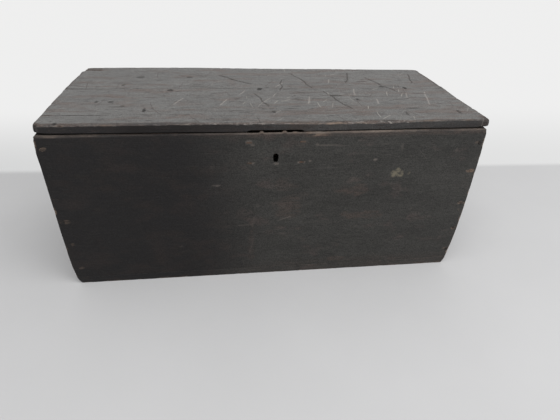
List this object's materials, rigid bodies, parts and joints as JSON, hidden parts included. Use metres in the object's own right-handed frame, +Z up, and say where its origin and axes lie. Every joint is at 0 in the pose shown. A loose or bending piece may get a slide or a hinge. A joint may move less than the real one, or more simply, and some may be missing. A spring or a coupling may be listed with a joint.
{
  "type": "storage chest",
  "caption": "Flat-lidded painted plank chest with a hinged lid on iron strap hinges, a lidless side till inside and a chest lock behind the front board's keyhole.",
  "frame": {"origin": "on the floor under the middle of the carcass, at the centre of the base", "axes": "+X along the front towards the right end, +Y from the front to the back, +Z up"},
  "size_m": [1, 0.454, 0.421],
  "materials": {
    "painted_pine": "worn black paint over pine",
    "bare_pine": "aged unpainted pine",
    "hinge_iron": "forged iron, browned",
    "lock_iron": "forged iron plate, browned",
    "nail_iron": "forged nails, rusted",
    "spring_steel": "dull steel leaf"
  },
  "bodies": {
    "chest": {"front_board": "painted_pine", "back_board": "painted_pine", "end_board_left": "painted_pine", "end_board_right": "painted_pine", "bottom_plank_front": "painted_pine", "bottom_plank_rear": "painted_pine", "till_side": "bare_pine", "till_bottom": "bare_pine", "front_nails_left": "nail_iron", "front_nails_right": "nail_iron", "back_nails_left": "nail_iron", "back_nails_right": "nail_iron", "bottom_nails_front": "nail_iron", "bottom_nails_rear": "nail_iron", "back_strap_left": "hinge_iron", "back_strap_right": "hinge_iron", "back_strap_nails_left": "nail_iron", "back_strap_nails_right": "nail_iron", "hinge_pin_left": "hinge_iron", "hinge_pin_right": "hinge_iron", "lock_plate": "lock_iron", "lock_nails": "nail_iron", "flange_nails": "nail_iron", "bolt_guide_outer": "lock_iron", "bolt_guide_inner": "lock_iron", "bolt_keeper": "lock_iron", "lock_cap": "lock_iron", "cap_rivets": "lock_iron", "bolt_spring": "spring_steel", "spring_stud": "lock_iron"},
    "lid": {"lid_board_front": "painted_pine", "lid_board_rear": "painted_pine", "lid_batten_left": "bare_pine", "lid_batten_right": "bare_pine", "batten_nails_left": "nail_iron", "batten_nails_right": "nail_iron", "lid_strap_left": "hinge_iron", "lid_strap_right": "hinge_iron", "lid_strap_nails_left": "nail_iron", "lid_strap_nails_right": "nail_iron", "lid_staple": "lock_iron", "staple_nails": "nail_iron"},
    "bolt": {"lock_bolt": "lock_iron"}
  },
  "joints": [
    {"name": "lid_hinge", "type": "hinge", "parent": "chest", "child": "lid", "pos_m": [0, 0.227, 0.395], "axis": [-1, 0, 0], "range_deg": [0, 105]},
    {"name": "bolt_slide", "type": "slide", "parent": "chest", "child": "bolt", "axis": [1, 0, 0], "range_m": [0, 0.02]}
  ]
}
